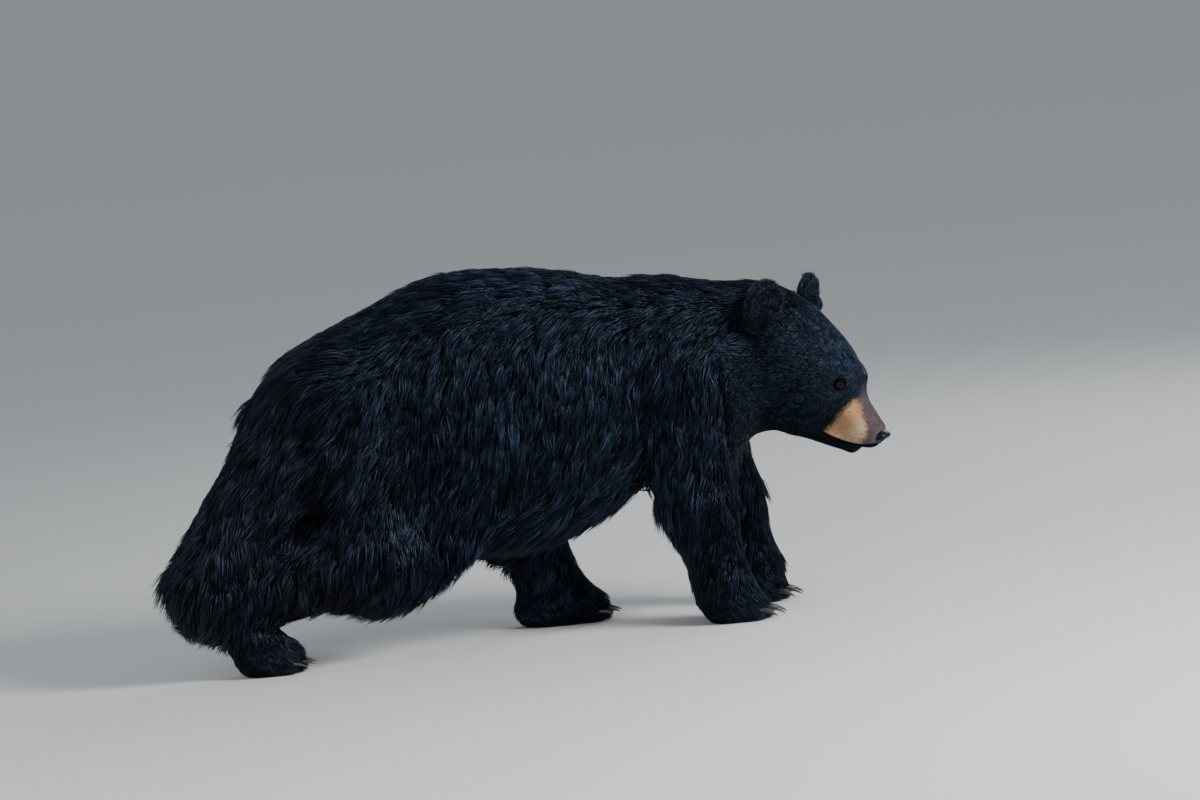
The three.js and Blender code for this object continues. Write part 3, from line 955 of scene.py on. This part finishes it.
def bare(roots):
    """Where no tufts grow: the eyes, the nose, the mouth's line and the soles."""
    q = to_head(roots)
    hairless = np.linalg.norm((q - NOSE_AT) / (21, 25, 20), axis=1) < 1
    for side in (1, -1):
        middle, axes = eye_axes(side)
        off = q - middle
        ahead = off @ axes[0]
        hairless |= (np.linalg.norm(off - ahead[:, None] * axes[0], axis=1) < 9.8) & (
            np.abs(ahead) < 20)
    hairless |= (roots[:, 0] > FACE) & (q[:, 0] > 92) & (np.abs(mouth_height(roots)) < 1.3)
    return hairless | (roots[:, 2] < 3)


def grow_coat(skin):
    """Grows the whole coat on the skin and lays it in its pieces."""
    roots, normals, flat = sample_roots(skin, COAT_SHARE)
    kept = ~bare(roots)
    roots, normals, flat = roots[kept], normals[kept], flat[kept]
    lie, long, wide, raised, _, bend = coat_plan(roots, normals)
    count = len(roots)

    # Neighbouring tufts gather into locks, each with its own lean and lift.
    shag = np.interp(long, (7, 16, 40, 70), (0.15, 0.4, 0.85, 1.0))
    swing = (0.16 * waves(roots, 150, 1) + 0.20 * waves(roots, 36, 2)) * shag
    swing = swing + rng.normal(0, 0.09, count)
    heads = rng.permutation(count)[: count // 12]
    tree = kdtree.KDTree(len(heads))
    for number, head in enumerate(heads):
        tree.insert(roots[head], number)
    tree.balance()
    lock = heads[[tree.find(root)[1] for root in roots]]
    lock_lift = rng.normal(0, 1, count)
    lift = np.radians(raised + shag * (4 * lock_lift[lock] + 4 * waves(roots, 60, 3))
                      + rng.normal(0, 3, count))
    lift = np.clip(lift, math.radians(6), math.radians(55))

    tangent = unit(lie - normals * (lie * normals).sum(1)[:, None])
    across = np.cross(normals, tangent)
    heading = tangent * np.cos(swing)[:, None] + across * np.sin(swing)[:, None]
    across = np.cross(normals, heading)
    reach = long * rng.uniform(0.9, 1.4, count)
    curl = (0.10 * waves(roots, 45, 4) + rng.normal(0, 0.05, count)) * shag

    raise_by = np.zeros(count)

    def path(number, along, size):
        """Where a lock's or a tuft's spine is, some way along it."""
        out = np.sin(lift[number]) * along * (1 - 0.42 * along) + raise_by[number] * along
        ahead = np.cos(lift[number]) * along
        bow = curl[number] * along ** 2
        hug = bend[number] * size * along ** 2 / 2
        return (heading[number] * ahead[:, None] + normals[number] * (out - hug)[:, None]
                + across[number] * bow[:, None]) * size[:, None]

    # In a hollow the skin rises ahead of a tuft, so its tip is lifted clear of it.
    each = np.arange(count)
    tips = roots + path(each, np.ones(count), reach)
    clear = (body_distance(tips) + skin_depth(tips)) / reach
    raise_by = np.clip(0.09 - clear, 0, 0.30) * (1 - ear_share(roots))

    offsets, along, faces = one_tuft()
    thick = wide * rng.uniform(0.8, 1.25, count)
    spots = np.empty((count, len(along), 3))
    for corner, (place, share) in enumerate(zip(offsets, along)):
        share = np.full(count, share)
        spine = roots + path(each, share, reach)
        gathered = roots[lock] + path(lock, share, reach)
        pull = (0.62 * shag * share ** 1.3)[:, None]
        spine = spine + (gathered - spine) * pull - normals * (1.2 * (1 - share))[:, None]
        spots[:, corner] = (spine + across * (place[0] * thick)[:, None]
                            + normals * (place[1] * thick * 0.55)[:, None])
    spots[..., 2] = np.maximum(spots[..., 2], FLOOR_GAP)
    # Each tuft's tone is random, and lighter on raised locks as painted highlight.
    tone = np.clip(0.34 + 0.24 * rng.normal(0, 1, count) + 0.16 * lock_lift[lock], 0, 1)

    patch = 0.0015 * np.stack([offsets[:, 0], along * 2 - 1], axis=1)
    for name, members in coat_regions(roots).items():
        lay_tufts(name, spots[members], faces, along, flat[members], patch, tone[members])


def coat_regions(roots):
    """The coat's pieces: which tufts belong to each."""
    q = to_head(roots)
    head = head_part(roots, -120, NECK)
    face = head & (q[:, 0] > 20)
    low = (roots[:, 2] < LEG_TOP) & ~head
    body = ~head & ~low
    right = roots[:, 1] < 0
    zones = {}
    for side, here, low_here in (("right", q[:, 1] < 0, right), ("left", q[:, 1] >= 0, ~right)):
        zones[f"coat_face_{side}"] = face & here
        zones[f"coat_head_{side}"] = head & ~face & here
        zones[f"coat_legs_front_{side}"] = low & (roots[:, 0] > MID_LEGS) & low_here
        zones[f"coat_legs_hind_{side}"] = low & (roots[:, 0] <= MID_LEGS) & low_here
    steps = (("rump", -900, -260), ("loin", -260, -60), ("belly", -60, 150), ("ribs", 150, 330),
             ("shoulder", 330, 900))
    for name, start, end in steps:
        band = body & (roots[:, 0] >= start) & (roots[:, 0] < end)
        for side, there in (("right", right), ("left", ~right)):
            zones[f"coat_{name}_{side}"] = band & there
    return zones


def lay_tufts(name, spots, faces, along, flat, patch, tone):
    """One piece of the coat: each tuft's corners, its patch of the unwrap and its tone, with
    painted shade at its root and painted highlight at its tip.
    """
    count, corners = spots.shape[:2]
    mesh = bpy.data.meshes.new(name)
    mesh.vertices.add(count * corners)
    mesh.vertices.foreach_set("co", laid(spots.reshape(-1, 3)).ravel())
    index = (np.arange(count)[:, None, None] * corners + faces).reshape(-1)
    mesh.loops.add(len(index))
    mesh.loops.foreach_set("vertex_index", index.astype(np.int32))
    mesh.polygons.add(len(index) // 3)
    mesh.polygons.foreach_set("loop_start", np.arange(0, len(index), 3, dtype=np.int32))
    mesh.update(calc_edges=True)
    mesh.validate()
    where = (flat[:, None, :] + patch).reshape(-1, 2)
    mesh.uv_layers.new(name="OFBake").data.foreach_set("uv", where[index].ravel())
    # Each tuft is darker at the root and lighter toward the tip: painted shade in the coat and
    # painted highlight on the tips.
    shade = np.clip(tone[:, None] * (0.25 + 1.1 * along), 0, 1).ravel()
    mark(mesh, "tone", shade)
    piece(name, mesh, "coat", COAT)


# ---- Making the bear ----

SKIN, COAT, EYE, LIDS = skin_finish(), coat_finish(), eye_finish(), lid_finish()
NOSE, HORN = nose_finish(), horn_finish()
skin_mesh = make_skin()
flesh = [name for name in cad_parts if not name.startswith(("claw", "eye", "nose"))]
skin = piece("skin", skin_mesh, "coat", SKIN, *flesh)
bpy.context.view_layer.objects.active = skin
skin.select_set(True)
skin_mesh.uv_layers.new(name="OFBake")
bpy.ops.object.mode_set(mode="EDIT")
bpy.ops.mesh.select_all(action="SELECT")
bpy.ops.uv.smart_project(angle_limit=1.15, island_margin=0.003)
bpy.ops.object.mode_set(mode="OBJECT")
for side, name in ((1, "left"), (-1, "right")):
    make_eye(f"globe_{name}", side, f"eye_{name}")
    make_lids(f"lids_{name}", side)
make_nose()
make_claws()
grow_coat(skin_mesh)


# ---- Floor, light and camera ----

FLOOR_HALF = 120          # metres, as are the places of the lights and the camera's distance
floor_form = bmesh.new()
bmesh.ops.create_grid(floor_form, x_segments=1, y_segments=1, size=FLOOR_HALF)
floor_mesh = bpy.data.meshes.new("floor")
floor_form.to_mesh(floor_mesh)
floor_form.free()
floor_mesh.materials.append(Finish("pale_floor", Roughness=0.85, Base_Color=FLOOR_GREY).material)
floor = bpy.data.objects.new("floor", floor_mesh)
bpy.context.scene.collection.objects.link(floor)


def area_light(name, place, target, size, power, colour):
    lamp = bpy.data.lights.new(name, "AREA")
    lamp.shape, lamp.size, lamp.energy, lamp.color = "DISK", size, power, colour
    thing = bpy.data.objects.new(name, lamp)
    thing.location = place
    thing.rotation_euler = (Vector(target) - Vector(place)).to_track_quat("-Z", "Y").to_euler()
    bpy.context.scene.collection.objects.link(thing)


area_light("key", (3.2, -2.8, 2.6), (0.2, 0, 0.4), 2.0, 350, (0.93, 0.96, 1.0))
area_light("fill", (-2.4, -3.8, 1.8), (0, 0, 0.4), 2.2, 80, (0.93, 0.96, 1.0))
area_light("back", (2.2, 2.8, 2.4), (0.2, 0, 0.5), 2.2, 45, (0.9, 0.95, 1.0))
world = bpy.data.worlds.new("studio")
world.use_nodes = True
sky = world.node_tree.nodes["Background"]
sky.inputs["Color"].default_value = SKY_GREY
sky.inputs["Strength"].default_value = 0.5
bpy.context.scene.world = world

LOOK_AT = (249, 0, 456)                 # millimetres, in the bear's frame
LOOK_FROM, CAMERA_TILT = (-4, 6), 6     # azimuth, height and tilt, in degrees
CAMERA_FAR = 13
azimuth, height = (math.radians(a) for a in LOOK_FROM)
away = Vector((math.sin(azimuth) * math.cos(height), -math.cos(azimuth) * math.cos(height),
               math.sin(height)))
camera_data = bpy.data.cameras.new("camera")
camera_data.lens, camera_data.sensor_width = 195, 36
camera_data.clip_end = 300
camera = bpy.data.objects.new("camera", camera_data)
camera.location = Vector(laid(LOOK_AT)) + away * CAMERA_FAR
camera.rotation_euler = (away.to_track_quat("Z", "Y").to_matrix()
                         @ Matrix.Rotation(math.radians(-CAMERA_TILT), 3, "Z")).to_euler()
bpy.context.scene.collection.objects.link(camera)
bpy.context.scene.camera = camera
